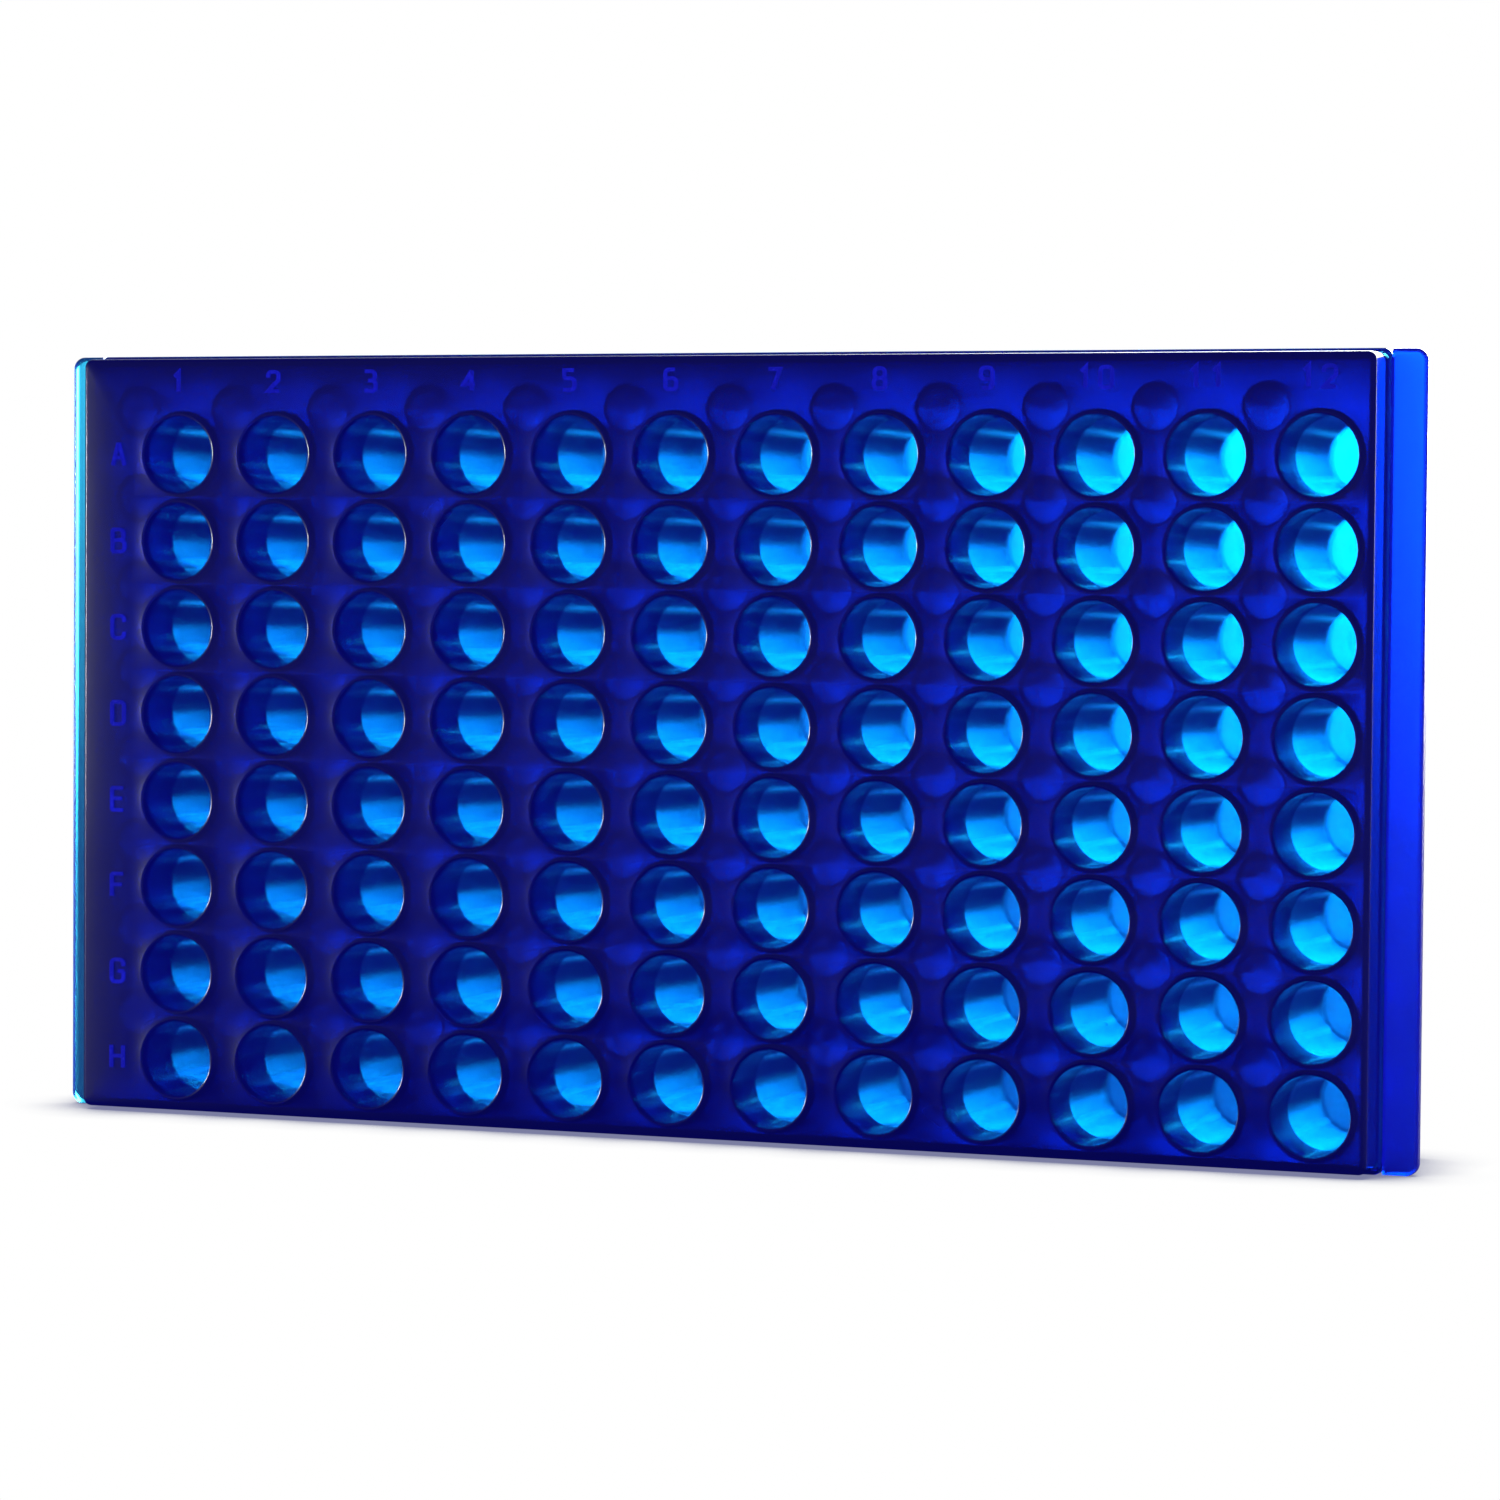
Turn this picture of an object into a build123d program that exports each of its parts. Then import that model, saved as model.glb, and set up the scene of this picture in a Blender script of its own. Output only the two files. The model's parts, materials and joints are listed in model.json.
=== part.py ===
from build123d import *
import math
import os

# Reversible 96-place tube rack in translucent blue polypropylene, standing on one long edge.
# +X runs along the columns 1 to 12, +Z is up from row H to row A, and the loading face looks along -Y.
# The origin is the middle of the overall footprint, on the surface that the rack stands on.
# The front shell carries 96 large wells.  The rear shell carries 96 small wells that open at the
# back, half a pitch up and to the left, so each small well stands between four large ones.

os.makedirs("parts", exist_ok=True)

# Driving dimensions, in millimetres
columns = 12
rows = 8
column_pitch = 16.0
row_pitch = 13.0
end_edge = 8.0            # outermost well centre of either face to the nearer short end
long_edge = 7.75          # outermost well centre of either face to the nearer long edge
depth = 28.0              # loading face to back face
skin = 0.8                # face plate and rear plate
web = 1.2                 # wall that joins the wells behind each plate
plate_corner = 1.2

large_radius = 5.7        # bore of the straight guide of a large well
large_wall = 0.7
large_guide = 8.5         # depth of the straight guide, from the loading face
large_taper = 0.65        # the floor's radius is this much less than the guide's
large_floor = 1.0

small_wall = 0.55
small_guide = 4.0         # depth of the straight mouth, from the back face
small_floor = 0.8

floor_round = 0.9
lip_round = 0.3
cup_gap = 0.06            # least space between a large well's wall and a small one's
tip_gap = 0.5             # space between a well's tip and the web behind the opposite face

rim_wall = 1.2            # skirt of the front shell
rear_wall = 1.8           # side wall of the rear shell
rear_step = 0.6           # the rear shell stands this far outside the front shell
seam_depth = 6.5          # loading face to the front edge of the rear shell
lap = 2.0                 # length of the front skirt inside the rear shell's rebate
lap_gap = 0.1

flange_out = 5.6          # grip flange beyond the face plate's short end
flange_thick = 2.0
flange_corner = 1.8

relief = 0.25             # height of the raised marks
letter_height = 3.9
number_height = 3.4
stroke = 0.55             # width of a mark's strokes
letter_offset = 10.0      # row letter's centre to the left of column 1
number_offset = 10.8      # column number's centre above row A

# Worked-out sizes and places
plate_length = (columns - 0.5) * column_pitch + 2 * end_edge
plate_height = (rows - 0.5) * row_pitch + 2 * long_edge
rear_length = plate_length + 2 * rear_step
rear_height = plate_height + 2 * rear_step
mid_z = rear_height / 2
face_y = -depth / 2
back_y = depth / 2
seam_y = face_y + seam_depth
front_inside = (plate_length / 2 - rim_wall, plate_height / 2 - rim_wall)
rear_inside = (rear_length / 2 - rear_wall, rear_height / 2 - rear_wall)
large_outer = large_radius + large_wall
large_floor_radius = large_radius - large_taper
large_floor_outer = large_floor_radius + large_wall
well_end = depth - skin - web - tip_gap
centre_distance = math.hypot(column_pitch / 2, row_pitch / 2)


def large_outer_at(d):
    """Outside radius of a large well at depth d behind the loading face."""
    share = min(max((d - large_guide) / (well_end - large_guide), 0), 1)
    return large_outer + share * (large_floor_outer - large_outer)


def small_outer_at(d):
    """Widest outside radius of a small well at depth d from the back face that clears its neighbours."""
    return centre_distance - cup_gap - large_outer_at(depth - d)


small_outer = small_outer_at(small_guide)
small_mouth_radius = small_outer - small_wall
small_knee = depth - large_guide    # beside the straight guides a small well is straight too
small_tip_outer = small_outer_at(small_knee)
small_tip_radius = small_tip_outer - small_wall


def block(x0, x1, y0, y1, z0, z1):
    """Box between two corners."""
    return Pos((x0 + x1) / 2, (y0 + y1) / 2, (z0 + z1) / 2) * Box(x1 - x0, y1 - y0, z1 - z0)


def upright(shape, y):
    """Turn a shape drawn face up, so that its +Z side looks along -Y with that side at y."""
    return Pos(0, y, mid_z) * Rot(90, 0, 0) * shape


def large_place(column, row):
    """Centre of a large well: X and Z measured from the middle of the rack."""
    x = column_pitch / 4 + (column - (columns - 1) / 2) * column_pitch
    z = -row_pitch / 4 + ((rows - 1) / 2 - row) * row_pitch
    return x, z


def small_place(column, row):
    """Centre of a small well, the large grid turned half a turn about the middle."""
    x, z = large_place(columns - 1 - column, rows - 1 - row)
    return -x, -z


def cup(inside, outside):
    """Closed round well around +Y with its mouth plane at y = 0, from two outlines of (radius, depth).

    Each outline runs from the mouth to the floor, where its corner is cut off by floor_round.
    """
    outlines = []
    for outline in (inside, outside):
        radius, floor = outline[-1]
        corner = [(radius, floor - floor_round), (radius - floor_round, floor), (0, floor)]
        outlines.append(outline[:-1] + corner)
    profile = Polyline(*(outlines[0][::-1] + outlines[1]), close=True)
    return revolve(make_face(profile), Axis.Y, 360)


def span(centre, centres, wall):
    """Stretch of web around centre: half-way to the wells beside it, or to the wall past the last one."""
    lower = [c for c in centres if c < centre]
    upper = [c for c in centres if c > centre]
    low = (centre + max(lower)) / 2 if lower else -wall
    high = (centre + min(upper)) / 2 if upper else wall
    return low, high


def tile(place, column, row, inside, radius, y0, y1):
    """Web around one well, with the well's hole in it."""
    x, z = place(column, row)
    left, right = span(x, [place(c, row)[0] for c in range(columns)], inside[0])
    low, high = span(z, [place(column, r)[1] for r in range(rows)], inside[1])
    sheet = block(left, right, y0, y1, mid_z + low, mid_z + high)
    return sheet - Pos(x, (y0 + y1) / 2, mid_z + z) * Rot(90, 0, 0) * Cylinder(radius, 4 * (y1 - y0))


def large_well(column, row):
    """One large well that opens at the loading face, and the web around it."""
    x, z = large_place(column, row)
    inside = [(large_radius, skin), (large_radius, large_guide)]
    inside += [(large_floor_radius, well_end - large_floor)]
    outside = [(large_outer, skin), (large_outer, large_guide), (large_floor_outer, well_end)]
    well = Pos(x, face_y, mid_z + z) * cup(inside, outside)
    web_y = face_y + skin
    return well, tile(large_place, column, row, front_inside, large_outer, web_y, web_y + web)


def small_well(column, row):
    """One small well that opens at the back face, and the web around it."""
    x, z = small_place(column, row)
    inside = [(small_mouth_radius, skin), (small_mouth_radius, small_guide)]
    inside += [(small_tip_radius, small_knee), (small_tip_radius, well_end - small_floor)]
    outside = [(small_outer, skin), (small_outer, small_guide)]
    outside += [(small_tip_outer, small_knee), (small_tip_outer, well_end)]
    well = Pos(x, back_y, mid_z + z) * Rot(180, 0, 0) * cup(inside, outside)
    web_y = back_y - skin
    return well, tile(small_place, column, row, rear_inside, small_outer, web_y - web, web_y)


def plate(length, height, centres, radius):
    """Flat plate with rounded corners and a rounded lip at each hole, its outer face at +Z."""
    outline = RectangleRounded(length, height, plate_corner)
    holes = Sketch() + [Pos(x, z) * Circle(radius) for x, z in centres]
    body = extrude(outline - holes, -skin)
    return fillet(body.faces().sort_by(Axis.Z)[-1].edges(), lip_round)


def face_plate():
    """Loading face with the 96 large mouths."""
    centres = [large_place(c, r) for c in range(columns) for r in range(rows)]
    return upright(plate(plate_length, plate_height, centres, large_radius), face_y)


def rear_plate():
    """Back face with the 96 small mouths."""
    centres = [small_place(c, r) for c in range(columns) for r in range(rows)]
    flipped = [(-x, z) for x, z in centres]
    body = plate(rear_length, rear_height, flipped, small_mouth_radius)
    return Pos(0, back_y, mid_z) * Rot(0, 0, 180) * Rot(90, 0, 0) * body


def frame(half_length, half_height, inside, y0, y1, corner):
    """Four walls round a shell: two end walls with rounded outer corners, and two long ones between."""
    x1, z1 = inside
    left = block(-half_length, -x1, y0, y1, mid_z - half_height, mid_z + half_height)
    right = block(x1, half_length, y0, y1, mid_z - half_height, mid_z + half_height)
    return {
        "left": fillet(left.edges().filter_by(Axis.Y).group_by(Axis.X)[0], corner),
        "right": fillet(right.edges().filter_by(Axis.Y).group_by(Axis.X)[-1], corner),
        "top": block(-x1, x1, y0, y1, mid_z + z1, mid_z + half_height),
        "bottom": block(-x1, x1, y0, y1, mid_z - half_height, mid_z - z1),
    }


def front_rims():
    """Four walls of the front shell's skirt, behind the face plate."""
    corner = min(plate_corner, 0.9 * rim_wall)
    return frame(plate_length / 2, plate_height / 2, front_inside, face_y + skin, seam_y + lap, corner)


def rear_walls():
    """Four side walls of the rear shell, with a rebate at the front that takes the edge of the skirt."""
    corner = min(plate_corner, 0.9 * rear_wall)
    walls = frame(rear_length / 2, rear_height / 2, rear_inside, seam_y, back_y - skin, corner)
    rebate = block(
        -plate_length / 2 - lap_gap,
        plate_length / 2 + lap_gap,
        seam_y - lap,
        seam_y + lap + lap_gap,
        mid_z - plate_height / 2 - lap_gap,
        mid_z + plate_height / 2 + lap_gap,
    )
    return {side: wall - rebate for side, wall in walls.items()}


def end_flange(side):
    """Grip flange along one short end, with its two outer corners rounded."""
    x0, x1 = rear_length / 2, plate_length / 2 + flange_out
    strip = block(x0, x1, seam_y, seam_y + flange_thick, 0, rear_height)
    strip = fillet(strip.edges().filter_by(Axis.Y).group_by(Axis.X)[-1], flange_corner)
    outer = strip.faces().sort_by(Axis.X)[-1].edges().filter_by(Axis.Z)
    strip = fillet(outer, flange_thick * 0.3)
    return strip if side > 0 else mirror(strip, Plane.YZ)


# Plain block characters, drawn as strokes in a box 0.6 wide and 1 high.
# A stroke of more than three points has its corners rounded.
GLYPHS = {
    "A": [[(0, 0), (0.28, 1)], [(0.6, 0), (0.32, 1)], [(0.12, 0.35), (0.48, 0.35)]],
    "B": [
        [(0, 0), (0, 1)],
        [(0, 1), (0.56, 1), (0.56, 0.52), (0, 0.52)],
        [(0, 0.52), (0.6, 0.52), (0.6, 0), (0, 0)],
    ],
    "C": [[(0.6, 0.72), (0.6, 1), (0, 1), (0, 0), (0.6, 0), (0.6, 0.28)]],
    "D": [[(0, 0), (0, 1)], [(0, 1), (0.6, 1), (0.6, 0), (0, 0)]],
    "E": [[(0, 0), (0, 1)], [(0, 1), (0.55, 1)], [(0, 0.52), (0.5, 0.52)], [(0, 0), (0.55, 0)]],
    "F": [[(0, 0), (0, 1)], [(0, 1), (0.55, 1)], [(0, 0.52), (0.5, 0.52)]],
    "G": [[(0.6, 0.72), (0.6, 1), (0, 1), (0, 0), (0.6, 0), (0.6, 0.48)], [(0.64, 0.48), (0.34, 0.48)]],
    "H": [[(0, 0), (0, 1)], [(0.6, 0), (0.6, 1)], [(0, 0.52), (0.6, 0.52)]],
    "0": [[(0.28, 1), (0, 1), (0, 0), (0.6, 0), (0.6, 1), (0.3, 1)], [(0.26, 1), (0.32, 1)]],
    "1": [[(0.12, 0.78), (0.35, 1), (0.35, 0)]],
    "2": [[(0, 0.7), (0, 1), (0.6, 1), (0.6, 0.55), (0.34, 0.34)], [(0.36, 0.36), (0, 0), (0.6, 0)]],
    "3": [
        [(0, 1), (0.56, 1), (0.56, 0.52), (0.2, 0.52)],
        [(0.2, 0.52), (0.6, 0.52), (0.6, 0), (0, 0)],
    ],
    "4": [[(0.45, 0), (0.45, 1)], [(0.45, 1), (0, 0.3), (0.62, 0.3)]],
    "5": [[(0.55, 1), (0.04, 1), (0.04, 0.58)], [(0.04, 0.58), (0.6, 0.58), (0.6, 0), (0, 0)]],
    "6": [[(0.5, 1), (0, 1), (0, 0), (0.3, 0)], [(0.28, 0), (0.6, 0), (0.6, 0.56), (0, 0.56)]],
    "7": [[(0, 1), (0.6, 1), (0.22, 0)]],
    "8": [
        [(0.28, 0.52), (0.03, 0.52), (0.03, 1), (0.57, 1), (0.57, 0.52), (0.3, 0.52)],
        [(0.28, 0.52), (0, 0.52), (0, 0), (0.6, 0), (0.6, 0.52), (0.3, 0.52)],
        [(0.24, 0.52), (0.34, 0.52)],
    ],
    "9": [[(0.1, 0), (0.6, 0), (0.6, 1), (0.3, 1)], [(0.32, 1), (0, 1), (0, 0.44), (0.6, 0.44)]],
}


def character(letter, height):
    """One block character as a flat outline, its middle at the origin."""
    sketch = Sketch()
    for points in GLYPHS[letter]:
        scaled = [((x - 0.3) * height, (z - 0.5) * height) for x, z in points]
        if len(points) > 3:
            sketch += trace(FilletPolyline(*scaled, radius=0.2 * height), stroke)
        else:
            sketch += trace(Polyline(*scaled), stroke)
    return sketch


def mark(text, height, x, z):
    """Raised character or number centred at x and z, on the loading face."""
    step = 0.6 * height + 2 * stroke
    shapes = []
    for i, letter in enumerate(text):
        shift = (i - (len(text) - 1) / 2) * step
        glyph = Pos(x + shift, z) * character(letter, height - stroke)
        shapes.append(upright(extrude(glyph, relief), face_y))
    return shapes


def row_letters():
    """Letters A to H to the left of column 1."""
    places = [large_place(0, r) for r in range(rows)]
    shapes = []
    for r, (x, z) in enumerate(places):
        shapes += mark(chr(65 + r), letter_height, x - letter_offset, z)
    return [shape.solids()[0] for shape in shapes]


def column_numbers():
    """Numbers 1 to 12 above row A."""
    places = [large_place(c, 0) for c in range(columns)]
    shapes = []
    for c, (x, z) in enumerate(places):
        shapes += mark(str(c + 1), number_height, x, z + number_offset)
    return [shape.solids()[0] for shape in shapes]


def save(name, shapes):
    """Write one node: every solid of its shapes, each separate from the others."""
    solids = [solid for shape in shapes for solid in shape.solids()]
    if len(solids) == 1:
        export_step(solids[0], "parts/" + name + ".step")
    else:
        export_step(Compound(children=solids), "parts/" + name + ".step")


save("face_plate", [face_plate()])
save("row_letters", row_letters())
save("column_numbers", column_numbers())
save("rear_plate", [rear_plate()])
for side, wall in front_rims().items():
    save("front_rim_" + side, [wall])
for side, wall in rear_walls().items():
    save("rear_wall_" + side, [wall])
save("end_flange_left", [end_flange(-1)])
save("end_flange_right", [end_flange(1)])
for r in range(rows):
    save("large_wells_row_" + chr(97 + r), [shape for c in range(columns) for shape in large_well(c, r)])
    save("small_wells_row_" + str(r + 1), [shape for c in range(columns) for shape in small_well(c, r)])
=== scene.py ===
"""Reversible 96-place tube rack in translucent blue polypropylene, standing on its long edge.

Every surface is worked out with numpy on grids, in metres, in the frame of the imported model:
+X along the columns, +Z up, the loading face towards -Y.
"""
import json
import math

import bpy
import numpy as np
from mathutils import Matrix, Vector


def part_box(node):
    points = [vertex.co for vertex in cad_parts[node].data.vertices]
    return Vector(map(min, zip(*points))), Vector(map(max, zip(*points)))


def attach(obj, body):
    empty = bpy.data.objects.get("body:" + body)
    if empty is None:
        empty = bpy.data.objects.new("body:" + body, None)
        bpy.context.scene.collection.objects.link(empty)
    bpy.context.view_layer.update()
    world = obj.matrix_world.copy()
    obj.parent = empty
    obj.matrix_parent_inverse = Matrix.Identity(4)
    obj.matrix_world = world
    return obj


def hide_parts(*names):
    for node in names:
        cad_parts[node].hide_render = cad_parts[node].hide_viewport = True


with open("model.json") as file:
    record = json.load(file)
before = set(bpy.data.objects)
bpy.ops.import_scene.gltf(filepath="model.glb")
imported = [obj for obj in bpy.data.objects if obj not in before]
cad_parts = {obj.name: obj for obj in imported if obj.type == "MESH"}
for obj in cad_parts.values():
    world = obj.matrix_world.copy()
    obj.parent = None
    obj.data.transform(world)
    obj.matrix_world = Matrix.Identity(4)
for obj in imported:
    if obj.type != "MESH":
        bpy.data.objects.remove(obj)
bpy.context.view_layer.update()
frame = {"nodes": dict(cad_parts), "record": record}
MM = 0.001

# ---------------------------------------------------------------- places read from the frame
face_low, face_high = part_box("face_plate")
back_low, back_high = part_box("rear_plate")
flange_low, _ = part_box("end_flange_right")
rim_low, rim_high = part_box("front_rim_right")
wall_low, wall_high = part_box("rear_wall_left")
bores = {m["name"]: m for m in frame["record"]["mounts"] if m["kind"] == "bore"}
COLUMNS = 12
ROWS = 8
LETTERS = "abcdefgh"


def bore_place(name):
    """X and Z of a well's axis, from the record's mounts."""
    return np.array(bores[name]["pos_m"])[[0, 2]]


large_first = bore_place("large_well_a1")
large_last = bore_place("large_well_h12")
small_first = bore_place("small_well_1_1")
COLUMN_PITCH = (large_last[0] - large_first[0]) / (COLUMNS - 1)
ROW_PITCH = (large_first[1] - large_last[1]) / (ROWS - 1)
LARGE_RADIUS = bores["large_well_a1"]["dims"]["r_mm"] * MM
SMALL_RADIUS = bores["small_well_1_1"]["dims"]["r_mm"] * MM
FACE_Y = face_low.y
BACK_Y = back_high.y
SEAM_Y = flange_low.y
SKIRT_END_Y = rim_high.y
MID_Z = (back_low.z + back_high.z) / 2
PLATE_X = face_high.x
PLATE_Z = (face_high.z - face_low.z) / 2
REAR_X = back_high.x
REAR_Z = (back_high.z - back_low.z) / 2
RIM_WALL = rim_high.x - rim_low.x
REAR_WALL = wall_high.x - wall_low.x

# ---------------------------------------------------------------- sizes shared by both mouldings
DECK = 2.0 * MM          # plate with the web behind it
CORNER = 1.2 * MM        # corners of the plates
LEAST_CORNER = 0.1 * MM
EDGE = 0.5 * MM          # rounding of the plates' edges
EDGE_ANGLES = (0, 30, 60, 90)
WELL_END = 25.5 * MM     # outside of a well's closed end, from its own face
PAINTED_BAND_WIDTH = 5.0         # degrees: half-width of the painted light bands on a large well's wall

# ---------------------------------------------------------------- how the meshes are joined
WELD = 2e-6              # metres: points this close become one
SAME = 1e-7              # metres: coordinates this close count as equal
SHARP_ANGLE = 35         # degrees: an edge that turns further is drawn sharp
CORNER_POINTS = 4        # points on each half of a plate's corner


# ---------------------------------------------------------------- surfaces from numpy grids
class Surface:
    """Grids of points welded into one mesh: neighbours in a grid make a four-sided face."""

    def __init__(self):
        self.points = []
        self.faces = []
        self.tints = []
        self.count = 0

    def grid(self, points, turn=False, tint=0.0):
        """Add a grid of m by n points; turn swaps which side faces out."""
        rows, columns = points.shape[:2]
        index = np.arange(rows * columns).reshape(rows, columns) + self.count
        quads = np.stack([index[:-1, :-1], index[:-1, 1:], index[1:, 1:], index[1:, :-1]], axis=-1)
        quads = quads.reshape(-1, 4)
        self.faces.append(quads if turn else quads[:, ::-1])
        self.points.append(points.reshape(-1, 3))
        self.tints.append(np.broadcast_to(np.asarray(tint, float), (rows, columns)).reshape(-1))
        self.count += rows * columns

    def piece(self, name, material, replaced):
        """Weld points that meet, drop faces of no area, and make the object that rides on the rack."""
        points = np.concatenate(self.points)
        quads = np.concatenate(self.faces)
        tints = np.concatenate(self.tints)
        keys = np.round(points / WELD).astype(np.int64)
        _, first, inverse = np.unique(keys, axis=0, return_index=True, return_inverse=True)
        quads = inverse.reshape(-1)[quads]
        faces = []
        for quad in quads.tolist():
            face = [v for i, v in enumerate(quad) if v != quad[i - 1]]
            if len(face) > 2:
                faces.append(face)
        mesh = bpy.data.meshes.new(name)
        mesh.from_pydata(points[first].tolist(), [], faces)
        # the tint carries how thick the moulding is, and the painted light and shade on the large wells'
        # walls
        mesh.attributes.new("tint", "FLOAT", "POINT").data.foreach_set("value", tints[first])
        mesh.polygons.foreach_set("use_smooth", np.ones(len(mesh.polygons), bool))
        mesh.set_sharp_from_angle(angle=math.radians(SHARP_ANGLE))
        mesh.materials.append(material)
        mesh.validate()
        thing = bpy.data.objects.new(name, mesh)
        bpy.context.scene.collection.objects.link(thing)
        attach(thing, "root")
        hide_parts(*replaced)
        return thing


def cell_angles(right, left, top, bottom, across, up):
    """Angles from a well's axis to the edge of its cell: equal steps between the four corners."""
    corners = [
        math.atan2(-bottom, right),
        math.atan2(top, right),
        math.atan2(top, -left),
        math.atan2(-bottom, -left) + 2 * math.pi,
        math.atan2(-bottom, right) + 2 * math.pi,
    ]
    steps = [up, across, up, across]
    runs = [np.linspace(corners[i], corners[i + 1], steps[i], endpoint=False) for i in range(4)]
    return np.concatenate(runs + [[corners[4]]])


def cell_edge(angles, right, left, top, bottom):
    """Point where each ray from the axis meets the cell's rectangle."""
    c, s = np.cos(angles), np.sin(angles)
    reach_x = np.where(c > 0, right, left) / np.maximum(np.abs(c), 1e-9)
    reach_z = np.where(s > 0, top, bottom) / np.maximum(np.abs(s), 1e-9)
    reach = np.minimum(reach_x, reach_z)
    return np.stack([c * reach, s * reach], axis=1)


def tint_with_painted_light_bands(angles, shares):
    """Tint of a well's wall with painted light: lighter in four narrow bands towards the diagonal
    neighbours, where they nearly touch it, standing in for light from behind that comes through the gaps
    between the wells.

    shares gives each ring's least tint and how much of the bands it shows.
    """
    towards = math.atan2(ROW_PITCH, COLUMN_PITCH)
    half_turn = angles % math.pi
    across = np.minimum(np.abs(half_turn - towards), np.abs(math.pi - half_turn - towards))
    band = np.exp(-((across / math.radians(PAINTED_BAND_WIDTH)) ** 2))
    least = np.array([share[0] for share in shares])[:, None]
    shown = np.array([share[1] for share in shares])[:, None]
    return least + shown * band[None]


def well_grid(centre, extents, steps, profile, plane_y, inward):
    """One side of a well: its cell's edge, then rings that follow the profile of (radius, depth).

    inward is +1 where depth runs along +Y, and -1 where it runs along -Y.
    """
    angles = cell_angles(*extents, *steps)
    edge = cell_edge(angles, *extents)
    radius = np.array([r for r, d in profile])[:, None]
    depth = np.array([d for r, d in profile])[:, None] + 0 * angles
    rings = np.stack([radius * np.cos(angles), depth, radius * np.sin(angles)], axis=-1)
    outer = np.stack([edge[:, 0], 0 * angles + profile[0][1], edge[:, 1]], axis=-1)
    points = np.concatenate([outer[None], rings])
    points[..., 0] += centre[0]
    points[..., 2] += centre[1]
    points[..., 1] = plane_y + inward * points[..., 1]
    return points


def side_places(extents_of, centres, steps):
    """Points along the outside of the whole array of cells, as four runs: right, top, left, bottom."""
    across, up = steps
    runs = {"right": [], "top": [], "left": [], "bottom": []}
    for (column, row), centre in centres.items():
        extents = extents_of(column, row)
        angles = cell_angles(*extents, *steps)
        edge = cell_edge(angles, *extents) + centre
        spans = {
            "right": edge[: up + 1],
            "top": edge[up : up + across + 1],
            "left": edge[up + across : 2 * up + across + 1],
            "bottom": edge[2 * up + across :],
        }
        for side, span in spans.items():
            runs[side].append(span)
    limits = {side: np.concatenate(spans) for side, spans in runs.items()}
    keep = {
        "right": lambda p: np.abs(p[:, 0] - p[:, 0].max()) < SAME,
        "top": lambda p: np.abs(p[:, 1] - p[:, 1].max()) < SAME,
        "left": lambda p: np.abs(p[:, 0] - p[:, 0].min()) < SAME,
        "bottom": lambda p: np.abs(p[:, 1] - p[:, 1].min()) < SAME,
    }
    order = {"right": (1, 1), "top": (0, -1), "left": (1, -1), "bottom": (0, 1)}
    loop = []
    for side in ("right", "top", "left", "bottom"):
        points = limits[side][keep[side](limits[side])]
        axis, sign = order[side]
        points = points[np.argsort(sign * points[:, axis])]
        new = np.concatenate([[True], np.abs(np.diff(points[:, axis])) > SAME])
        loop.append(points[new])
    return loop


def rounded_loop(sides, x0, x1, z0, z1, corner):
    """Rectangle with round corners that has one point for each point of the array's outside.

    On each side the first and last few points lie on the corner's arc, and the others are spread
    along the straight in proportion to the array's own points.
    """
    ends = [((x1, z0), (x1, z1)), ((x1, z1), (x0, z1)), ((x0, z1), (x0, z0)), ((x0, z0), (x1, z0))]
    loop = []
    for side, (start, end) in zip(sides, ends):
        start, end = np.array(start), np.array(end)
        length = np.linalg.norm(end - start)
        along = (end - start) / length
        outward = np.array([along[1], -along[0]])
        travel = (side - side[0]) @ along
        k = min(CORNER_POINTS, (len(side) - 2) // 2)
        t = corner + (travel - travel[k]) / (travel[-1 - k] - travel[k]) * (length - 2 * corner)
        points = start + t[:, None] * along
        for i in range(k):
            angle = math.radians(45) * (1 - i / k)
            shift = corner * (1 - math.sin(angle))
            drop = corner * (1 - math.cos(angle))
            points[i] = start + along * shift - outward * drop
            points[len(side) - 1 - i] = end - along * shift - outward * drop
        loop.append(points[:-1])
    loop = np.concatenate(loop)
    return np.concatenate([loop, loop[:1]])


def outline(sides, half_length, half_height):
    """Function that gives a moulding's outline with round corners, drawn in by inset."""

    def loop(inset):
        return rounded_loop(
            sides,
            -half_length + inset,
            half_length - inset,
            MID_Z - half_height + inset,
            MID_Z + half_height - inset,
            max(CORNER - inset, LEAST_CORNER),
        )

    return loop


def round_edge(loop, plane_y, inward):
    """Outlines and their Y round a plate's edge: a quarter circle of radius EDGE.

    At angle a the outline is drawn in by EDGE (1 - sin a) and lies EDGE (1 - cos a) behind the plate.
    """
    angles = [math.radians(a) for a in EDGE_ANGLES]
    loops = [loop(EDGE * (1 - math.sin(a))) for a in angles]
    heights = [plane_y + inward * (EDGE * (1 - math.cos(a))) for a in angles]
    return loops, heights


def loft(loops, heights):
    """Grid whose rows are flat loops at the given Y."""
    rows = [np.stack([p[:, 0], 0 * p[:, 0] + y, p[:, 1]], axis=1) for p, y in zip(loops, heights)]
    return np.stack(rows)


# ---------------------------------------------------------------- plastic
def noise(tree, scale, detail, coordinates):
    """Noise texture on object coordinates."""
    node = tree.nodes.new("ShaderNodeTexNoise")
    node.inputs["Scale"].default_value = scale
    node.inputs["Detail"].default_value = detail
    tree.links.new(coordinates.outputs["Object"], node.inputs["Vector"])
    return node


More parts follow.
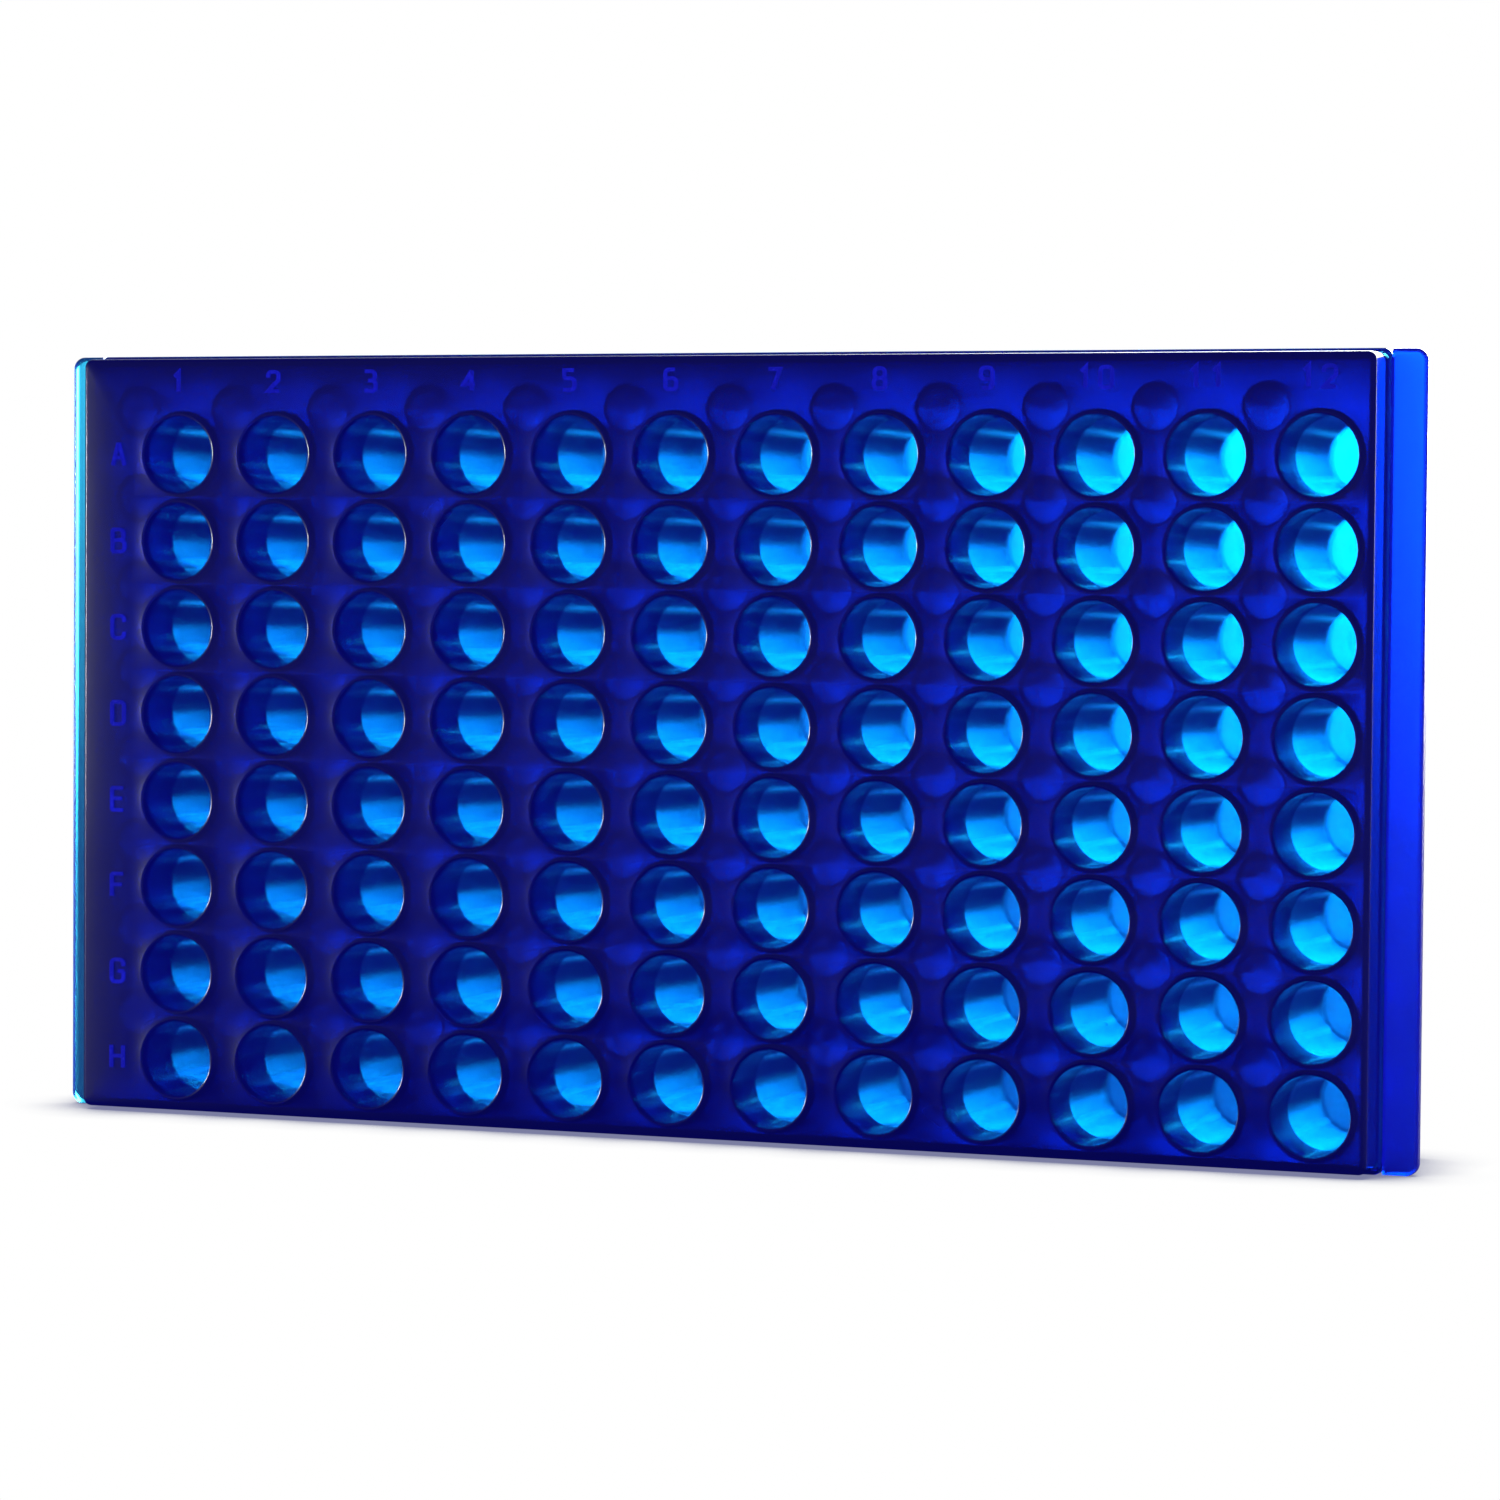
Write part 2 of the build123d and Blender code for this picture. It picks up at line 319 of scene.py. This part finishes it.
DYE = (0.02, 0.84, 0.96, 1)          # colour that the dye lets through
DYE_DENSITY = 3000                   # per metre of plastic
DEEP = (0.0001, 0.0007, 0.05)        # tint of a thick stretch, and of the painted shade on the large wells' walls
CLEAR = (0.60, 0.97, 1.0)            # tint of a thin stretch, which the painted light bands come close to
PALE = (0.9, 1.0, 1.0)               # painted light: pale tint that makes the left flange and the marks look lit
HAZE = 0.25                          # roughness of the skin, which blurs what is behind it
HAZE_SPREAD = 0.05
COAT = 0.6
COAT_ROUGHNESS = 0.08
SHINE = 0.15
PAINTED_GLOW = (0.02, 0.02, 1.0, 1)          # painted glow: emission that stands in for light scattered many times inside the plastic
PAINTED_GLOW_STRENGTH = 0.07
RIPPLE_STRENGTH = 0.08
RIPPLE_HEIGHT = 0.4 * MM


def plastic(name, deep, clear, haze, density=DYE_DENSITY, painted_glow=PAINTED_GLOW_STRENGTH):
    """Translucent moulded polypropylene: hazy, dyed right through, with a glossy skin, a faint ripple and
    a faint painted glow of its own.

    The mesh's tint runs from 0, dark, to 1, clear. Partly it follows how thick the moulding is, dark
    where thick and clear where thin, and partly it is painted light and shade: the dark walls and light
    bands of the large wells.
    """
    material = bpy.data.materials.new(name)
    material.use_nodes = True
    tree = material.node_tree
    shader = tree.nodes["Principled BSDF"]
    shader.inputs["IOR"].default_value = 1.49
    shader.inputs["Transmission Weight"].default_value = 1.0
    shader.inputs["Coat Weight"].default_value = COAT
    shader.inputs["Specular IOR Level"].default_value = SHINE
    shader.inputs["Coat Roughness"].default_value = COAT_ROUGHNESS
    # painted glow: the plastic gives off a faint blue light of its own, though it is no lamp
    shader.inputs["Emission Color"].default_value = PAINTED_GLOW
    shader.inputs["Emission Strength"].default_value = painted_glow
    tint = tree.nodes.new("ShaderNodeAttribute")
    tint.attribute_name = "tint"
    colour = tree.nodes.new("ShaderNodeMix")
    colour.data_type = "RGBA"
    colour.inputs["A"].default_value = (*deep, 1)
    colour.inputs["B"].default_value = (*clear, 1)
    tree.links.new(tint.outputs["Fac"], colour.inputs["Factor"])
    tree.links.new(colour.outputs["Result"], shader.inputs["Base Color"])
    dye = tree.nodes.new("ShaderNodeVolumeAbsorption")
    dye.inputs["Color"].default_value = DYE
    dye.inputs["Density"].default_value = density
    tree.links.new(dye.outputs["Volume"], tree.nodes["Material Output"].inputs["Volume"])
    coordinates = tree.nodes.new("ShaderNodeTexCoord")
    cloud = noise(tree, 35, 3, coordinates)
    rough = tree.nodes.new("ShaderNodeMapRange")
    rough.inputs["To Min"].default_value = haze - HAZE_SPREAD
    rough.inputs["To Max"].default_value = haze + HAZE_SPREAD
    tree.links.new(cloud.outputs["Fac"], rough.inputs["Value"])
    tree.links.new(rough.outputs["Result"], shader.inputs["Roughness"])
    ripple = noise(tree, 120, 2, coordinates)
    bump = tree.nodes.new("ShaderNodeBump")
    bump.inputs["Strength"].default_value = RIPPLE_STRENGTH
    bump.inputs["Distance"].default_value = RIPPLE_HEIGHT
    tree.links.new(ripple.outputs["Fac"], bump.inputs["Height"])
    tree.links.new(bump.outputs["Normal"], shader.inputs["Normal"])
    return material


front_plastic = plastic("front_polypropylene", DEEP, CLEAR, HAZE)
rear_plastic = plastic("rear_polypropylene", DEEP, CLEAR, HAZE)
# painted light and shade: the two end flanges are one plastic, but the right one gets a deep blue tint
# and a stronger painted glow, and the left one a pale, thinly dyed tint that looks lit from behind
painted_glow_flange_plastic = plastic("painted_glow_flange_polypropylene", (0.01, 0.05, 0.5), CLEAR, HAZE, painted_glow=0.16)
painted_lit_flange_plastic = plastic("painted_lit_flange_polypropylene", PALE, CLEAR, 0.2, density=1500)
# painted light: the raised marks get a pale tint and a stronger painted glow, standing in for the glints
# on their edges
painted_glow_mark_plastic = plastic("painted_glow_mark_polypropylene", PALE, CLEAR, 0.15, painted_glow=0.18)


# ---------------------------------------------------------------- front shell
LARGE_OUTER = 6.4 * MM
LARGE_GUIDE = 8.5 * MM      # straight stretch that guides a tube
LARGE_FLOOR = 24.5 * MM
LARGE_TIP = 5.1 * MM        # inside radius just above the floor
LARGE_STEPS = (12, 8)       # points along the long and short side of a cell
END_SLACK = 0.2 * MM        # between the web and the skirt's end walls
PAINTED_SHADE_WALL_TINT = 0.05            # painted shade: tint of the outside of a large well's wall, between the painted light bands

# profiles: radius, and depth behind the well's own face
large_inside = [
    (LARGE_RADIUS + 0.62 * MM, 0),
    (LARGE_RADIUS + 0.50 * MM, -0.04 * MM),
    (LARGE_RADIUS + 0.22 * MM, -0.04 * MM),
    (LARGE_RADIUS + 0.05 * MM, 0.03 * MM),
    (LARGE_RADIUS, 0.18 * MM),
    (LARGE_RADIUS, LARGE_GUIDE - 0.3 * MM),
    (LARGE_RADIUS - 0.10 * MM, LARGE_GUIDE),
    (LARGE_RADIUS - 0.12 * MM, LARGE_GUIDE + 0.5 * MM),
    (LARGE_TIP, LARGE_FLOOR - 1.2 * MM),
    (LARGE_TIP - 0.25 * MM, LARGE_FLOOR - 0.4 * MM),
    (LARGE_TIP - 0.80 * MM, LARGE_FLOOR - 0.05 * MM),
    (2.2 * MM, LARGE_FLOOR),
    (0, LARGE_FLOOR),
]
# painted light and shade: one pair for the cell's edge and one for each ring inside, giving the least
# tint and the share of the painted light bands; the mouth and walls stay dark and the closed end clear
inside_tints = [(0, 0)] * 6 + [(0, 0.04), (0.002, 0.15), (0.002, 0.25)]
inside_tints += [(0.004, 0.9), (0.3, 0.6), (1, 0), (1, 0), (1, 0)]
# the same pairs for the outside: the back of the deck half clear, the wall painted dark with the full
# painted light bands, the closed end clear
outside_tints = [(0.5, 0)] * 3 + [(PAINTED_SHADE_WALL_TINT, 1)] * 2 + [(1, 0)] * 4
large_outside = [
    (LARGE_OUTER + 0.08 * MM, DECK),
    (LARGE_OUTER, DECK + 0.3 * MM),
    (LARGE_OUTER, LARGE_GUIDE),
    (5.80 * MM, WELL_END - 1.3 * MM),
    (5.45 * MM, WELL_END - 0.4 * MM),
    (4.85 * MM, WELL_END),
    (2.2 * MM, WELL_END),
    (0, WELL_END),
]


def grid_places(first, last):
    """Centre of each well, by column and row."""
    xs = np.linspace(first[0], last[0], COLUMNS)
    zs = np.linspace(first[1], last[1], ROWS)
    return {(c, r): np.array([xs[c], zs[r]]) for c in range(COLUMNS) for r in range(ROWS)}


large_places = grid_places(large_first, large_last)
small_places = grid_places(small_first, bore_place("small_well_8_12"))


def extents_in(places, half_length, half_height):
    """Function that gives a cell's reach right, left, up and down, cut off at the shell's inside."""

    def extents(column, row):
        x, z = places[column, row]
        right = min(COLUMN_PITCH / 2, half_length - x)
        left = min(COLUMN_PITCH / 2, half_length + x)
        top = min(ROW_PITCH / 2, half_height - (z - MID_Z))
        bottom = min(ROW_PITCH / 2, half_height + (z - MID_Z))
        return right, left, top, bottom

    return extents


def front_shell():
    """Face plate, 96 large wells and skirt as one closed moulding."""
    shell = Surface()
    extents = extents_in(large_places, PLATE_X - RIM_WALL - END_SLACK, PLATE_Z - RIM_WALL)
    for (column, row), centre in large_places.items():
        reach = extents(column, row)
        # painted light bands and painted shade on both sides of each large well's wall
        tints = tint_with_painted_light_bands(cell_angles(*reach, *LARGE_STEPS), inside_tints)
        shell.grid(well_grid(centre, reach, LARGE_STEPS, large_inside, FACE_Y, 1), turn=True, tint=tints)
        behind = tint_with_painted_light_bands(cell_angles(*reach, *LARGE_STEPS), outside_tints)
        shell.grid(well_grid(centre, reach, LARGE_STEPS, large_outside, FACE_Y, 1), tint=behind)
    sides = side_places(extents, large_places, LARGE_STEPS)
    array = np.concatenate([side[:-1] for side in sides] + [sides[0][:1]])

    loop = outline(sides, PLATE_X, PLATE_Z)
    loops, heights = round_edge(loop, FACE_Y, 1)
    loops = [array] + loops + [loop(0), loop(RIM_WALL), loop(RIM_WALL), array]
    heights = [FACE_Y] + heights + [SKIRT_END_Y, SKIRT_END_Y, FACE_Y + DECK, FACE_Y + DECK]
    shell.grid(loft(loops, heights))
    names = ["face_plate"] + ["front_rim_" + side for side in ("left", "right", "top", "bottom")]
    names += ["large_wells_row_" + letter for letter in LETTERS]
    shell.piece("front_shell_moulding", front_plastic, names)


# ---------------------------------------------------------------- rear shell
SMALL_STEPS = (10, 6)
SMALL_GUIDE = 4.0 * MM
SMALL_KNEE = 19.5 * MM      # where the taper ends
SMALL_FLOOR = 24.7 * MM
SMALL_TIP = 3.3 * MM        # inside radius below the knee
SMALL_WALL = 0.53 * MM
REAR_TINT = 0.7
REBATE = 0.5 * MM           # step that the skirt's edge sits in
LAP_GAP = 0.1 * MM

small_inside = [
    (SMALL_RADIUS + 0.55 * MM, 0),
    (SMALL_RADIUS + 0.35 * MM, 0.02 * MM),
    (SMALL_RADIUS + 0.08 * MM, 0.10 * MM),
    (SMALL_RADIUS, 0.32 * MM),
    (SMALL_RADIUS, SMALL_GUIDE),
    (SMALL_TIP, SMALL_KNEE),
    (SMALL_TIP, SMALL_FLOOR - 1.1 * MM),
    (SMALL_TIP - 0.25 * MM, SMALL_FLOOR - 0.35 * MM),
    (SMALL_TIP - 0.9 * MM, SMALL_FLOOR),
    (0, SMALL_FLOOR),
]
small_outside = [
    (SMALL_RADIUS + 0.63 * MM, DECK),
    (SMALL_RADIUS + SMALL_WALL, DECK + 0.3 * MM),
    (SMALL_RADIUS + 0.50 * MM, SMALL_GUIDE),
    (SMALL_TIP + SMALL_WALL, SMALL_KNEE),
    (SMALL_TIP + SMALL_WALL, WELL_END - 1.1 * MM),
    (3.5 * MM, WELL_END - 0.3 * MM),
    (2.6 * MM, WELL_END),
    (0, WELL_END),
]


def rear_shell():
    """Back plate, 96 small wells and side walls as one closed moulding."""
    shell = Surface()
    extents = extents_in(small_places, REAR_X - REAR_WALL, REAR_Z - REAR_WALL)
    for (column, row), centre in small_places.items():
        reach = extents(column, row)
        shell.grid(well_grid(centre, reach, SMALL_STEPS, small_inside, BACK_Y, -1), tint=REAR_TINT)
        shell.grid(well_grid(centre, reach, SMALL_STEPS, small_outside, BACK_Y, -1), turn=True, tint=1.0)
    sides = side_places(extents, small_places, SMALL_STEPS)
    array = np.concatenate([side[:-1] for side in sides] + [sides[0][:1]])

    loop = outline(sides, REAR_X, REAR_Z)
    loops, heights = round_edge(loop, BACK_Y, -1)
    lap_y = SKIRT_END_Y + LAP_GAP
    loops = [array] + loops + [loop(0), loop(REBATE), loop(REBATE)]
    heights = [BACK_Y] + heights + [SEAM_Y, SEAM_Y, lap_y]
    loops += [loop(REAR_WALL), loop(REAR_WALL), array]
    heights += [lap_y, BACK_Y - DECK, BACK_Y - DECK]
    shell.grid(loft(loops, heights), turn=True, tint=REAR_TINT)
    names = ["rear_plate"] + ["rear_wall_" + side for side in ("left", "right", "top", "bottom")]
    names += ["small_wells_row_%d" % (row + 1) for row in range(ROWS)]
    shell.piece("rear_shell_moulding", rear_plastic, names)


front_shell()
rear_shell()
# painted light and shade: the flanges and marks get their lit, shaded and glowing copies of the plastic
finishes = {
    "end_flange_left": painted_lit_flange_plastic,
    "end_flange_right": painted_glow_flange_plastic,
    "row_letters": painted_glow_mark_plastic,
    "column_numbers": painted_glow_mark_plastic,
}
for node, finish in finishes.items():
    frame["nodes"][node].data.materials.clear()
    frame["nodes"][node].data.materials.append(finish)


# ---------------------------------------------------------------- floor, light and camera
FLOOR_REACH = 3.0           # metres from the middle to each side
PAINTED_SHADOW_REACH = 12 * MM     # how far from the rack the painted contact shadow reaches
# colour of the painted contact shadow
PAINTED_CONTACT_SHADOW = (0.20, 0.21, 0.36, 1)
BACK_LIGHT = 18.0           # strength of the world straight behind the rack
FRONT_LIGHT = 0.03          # strength of the world everywhere else
RIM_ENERGY = 2.0            # watts


def floor():
    """Plain pale floor under the rack, with a painted contact shadow."""
    size = FLOOR_REACH
    mesh = bpy.data.meshes.new("floor")
    corners = [(-size, -size, 0), (size, -size, 0), (size, size, 0), (-size, size, 0)]
    mesh.from_pydata(corners, [], [(0, 1, 2, 3)])
    thing = bpy.data.objects.new("floor", mesh)
    bpy.context.scene.collection.objects.link(thing)
    mesh.materials.append(white_floor_with_painted_shadow())


def white_floor_with_painted_shadow():
    """White floor with a painted contact shadow close to the rack: white emission to the camera, and to
    every other ray a dull dark grey that sends little light back up.
    """
    material = bpy.data.materials.new("white_floor_with_painted_shadow")
    material.use_nodes = True
    tree = material.node_tree
    tree.nodes.clear()
    output = tree.nodes.new("ShaderNodeOutputMaterial")
    # painted shadow: ambient occlusion darkens the white emission close to the rack
    painted_occlusion = tree.nodes.new("ShaderNodeAmbientOcclusion")
    painted_occlusion.inputs["Distance"].default_value = PAINTED_SHADOW_REACH
    painted_occlusion.samples = 8
    shade = tree.nodes.new("ShaderNodeMapRange")
    shade.inputs["From Min"].default_value = 0.35
    shade.inputs["From Max"].default_value = 0.95
    tree.links.new(painted_occlusion.outputs["AO"], shade.inputs["Value"])
    mix = tree.nodes.new("ShaderNodeMix")
    mix.data_type = "RGBA"
    mix.inputs["A"].default_value = PAINTED_CONTACT_SHADOW
    mix.inputs["B"].default_value = (1, 1, 1, 1)
    tree.links.new(shade.outputs["Result"], mix.inputs["Factor"])
    white = tree.nodes.new("ShaderNodeEmission")
    tree.links.new(mix.outputs["Result"], white.inputs["Color"])
    dull = tree.nodes.new("ShaderNodeBsdfDiffuse")
    dull.inputs["Color"].default_value = (0.05, 0.05, 0.05, 1)
    path = tree.nodes.new("ShaderNodeLightPath")
    choose = tree.nodes.new("ShaderNodeMixShader")
    tree.links.new(path.outputs["Is Camera Ray"], choose.inputs["Fac"])
    tree.links.new(dull.outputs["BSDF"], choose.inputs[1])
    tree.links.new(white.outputs["Emission"], choose.inputs[2])
    tree.links.new(choose.outputs["Shader"], output.inputs["Surface"])
    return material


def scaled(tree, source, low, high, at_low, at_high):
    """Value of source carried from low..high to at_low..at_high, eased at both ends and held beyond."""
    node = tree.nodes.new("ShaderNodeMapRange")
    node.interpolation_type = "SMOOTHSTEP"
    node.inputs["From Min"].default_value = low
    node.inputs["From Max"].default_value = high
    node.inputs["To Min"].default_value = at_low
    node.inputs["To Max"].default_value = at_high
    tree.links.new(source, node.inputs["Value"])
    return node.outputs["Result"]


def studio_light():
    """World that is bright behind the rack and dark in front of it, and plain white to the camera."""
    world = bpy.data.worlds.new("studio")
    bpy.context.scene.world = world
    world.use_nodes = True
    tree = world.node_tree
    tree.nodes.clear()
    output = tree.nodes.new("ShaderNodeOutputWorld")
    coordinates = tree.nodes.new("ShaderNodeTexCoord")
    split = tree.nodes.new("ShaderNodeSeparateXYZ")
    tree.links.new(coordinates.outputs["Generated"], split.inputs["Vector"])
    # X, Y and Z here are the parts of the direction that a ray of light comes from
    behind = scaled(tree, split.outputs["Y"], 0.55, 0.85, 0.0, 1.0)
    side = scaled(tree, split.outputs["X"], -0.42, -0.15, 0.15, 1.0)
    height = scaled(tree, split.outputs["Z"], -0.10, 0.05, 0.03, 1.0)
    both = tree.nodes.new("ShaderNodeMath")
    both.operation = "MULTIPLY"
    tree.links.new(behind, both.inputs[0])
    tree.links.new(side, both.inputs[1])
    all_three = tree.nodes.new("ShaderNodeMath")
    all_three.operation = "MULTIPLY"
    tree.links.new(both.outputs[0], all_three.inputs[0])
    tree.links.new(height, all_three.inputs[1])
    strength = scaled(tree, all_three.outputs[0], 0.0, 1.0, FRONT_LIGHT, BACK_LIGHT)
    lit = tree.nodes.new("ShaderNodeBackground")
    lit.inputs["Color"].default_value = (1, 1, 1, 1)
    tree.links.new(strength, lit.inputs["Strength"])
    plain = tree.nodes.new("ShaderNodeBackground")
    plain.inputs["Color"].default_value = (1, 1, 1, 1)
    plain.inputs["Strength"].default_value = 1.0
    path = tree.nodes.new("ShaderNodeLightPath")
    mix = tree.nodes.new("ShaderNodeMixShader")
    tree.links.new(path.outputs["Is Camera Ray"], mix.inputs["Fac"])
    tree.links.new(lit.outputs["Background"], mix.inputs[1])
    tree.links.new(plain.outputs["Background"], mix.inputs[2])
    tree.links.new(mix.outputs["Shader"], output.inputs["Surface"])


def camera():
    """Camera to the right of the loading face and a little above its middle.

    It looks along the direction that azimuth (turned from +Y towards -X) and elevation give, and is
    then rolled about that direction, with positive roll lifting the right side of its frame.
    """
    azimuth, elevation, roll = (math.radians(a) for a in (21.65, -2.376, 0.447))
    ahead = Vector((
        -math.sin(azimuth) * math.cos(elevation),
        math.cos(azimuth) * math.cos(elevation),
        math.sin(elevation),
    ))
    level = Vector((math.cos(azimuth), math.sin(azimuth), 0))
    upright = level.cross(ahead)
    right = level * math.cos(roll) + upright * math.sin(roll)
    data = bpy.data.cameras.new("camera")
    data.sensor_width = 36
    data.lens = 119.67
    thing = bpy.data.objects.new("camera", data)
    bpy.context.scene.collection.objects.link(thing)
    thing.location = (0.2723, -0.6782, 0.0867)
    thing.rotation_euler = Matrix((right, right.cross(ahead), -ahead)).transposed().to_euler()
    bpy.context.scene.camera = thing


def rim_light():
    """Narrow soft light far to the left, low in front, that the lips of the mouths mirror."""
    data = bpy.data.lights.new("rim_light", "AREA")
    data.shape = "RECTANGLE"
    data.size = 0.06
    data.size_y = 0.14
    data.energy = RIM_ENERGY
    thing = bpy.data.objects.new("rim_light", data)
    bpy.context.scene.collection.objects.link(thing)
    thing.location = (-0.85, -0.50, 0.07)
    aim = Vector((0, 0, MID_Z)) - thing.location
    thing.rotation_euler = aim.to_track_quat("-Z", "Y").to_euler()


floor()
studio_light()
rim_light()
camera()
bpy.context.scene.view_settings.view_transform = "Standard"
